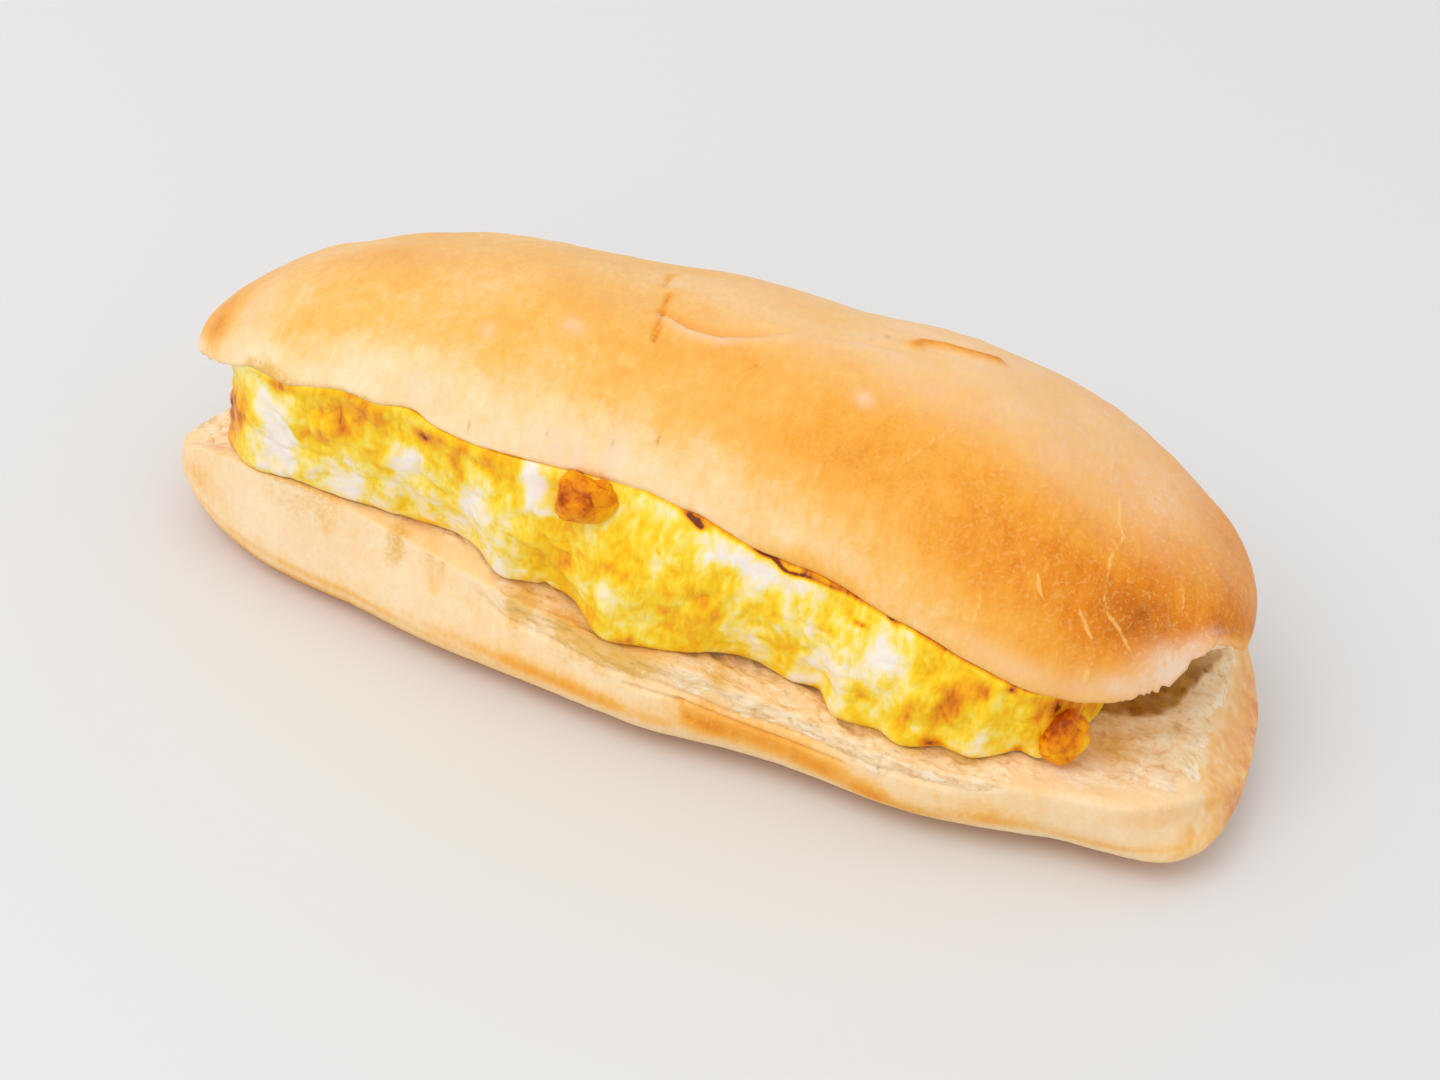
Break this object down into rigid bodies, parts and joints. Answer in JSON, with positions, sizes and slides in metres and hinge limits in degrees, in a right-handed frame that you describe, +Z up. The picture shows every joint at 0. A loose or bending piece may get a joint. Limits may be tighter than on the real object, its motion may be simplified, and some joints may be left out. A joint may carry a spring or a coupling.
{
  "type": "egg breakfast sandwich on a long roll",
  "caption": "Long soft bread roll, slit along its front and hinged along its back, filled with a folded omelette that shows in the open mouth.",
  "frame": {"origin": "on the flat base, under the middle of the roll's length and width", "axes": "+X along the roll towards its blunt end, -Y towards the open front, +Z up"},
  "size_m": [0.2075, 0.0838, 0.0729],
  "materials": {
    "bread": "soft golden crust, pale along the lips, with open white crumb on the cut faces",
    "egg": "moist folded omelette, yellow with white patches and browned edges",
    "browned_egg": "moist pan-browned egg"
  },
  "bodies": {
    "root": {"roll": "bread", "omelette": "egg", "middle_curd": "browned_egg", "end_curd": "browned_egg"}
  },
  "joints": []
}
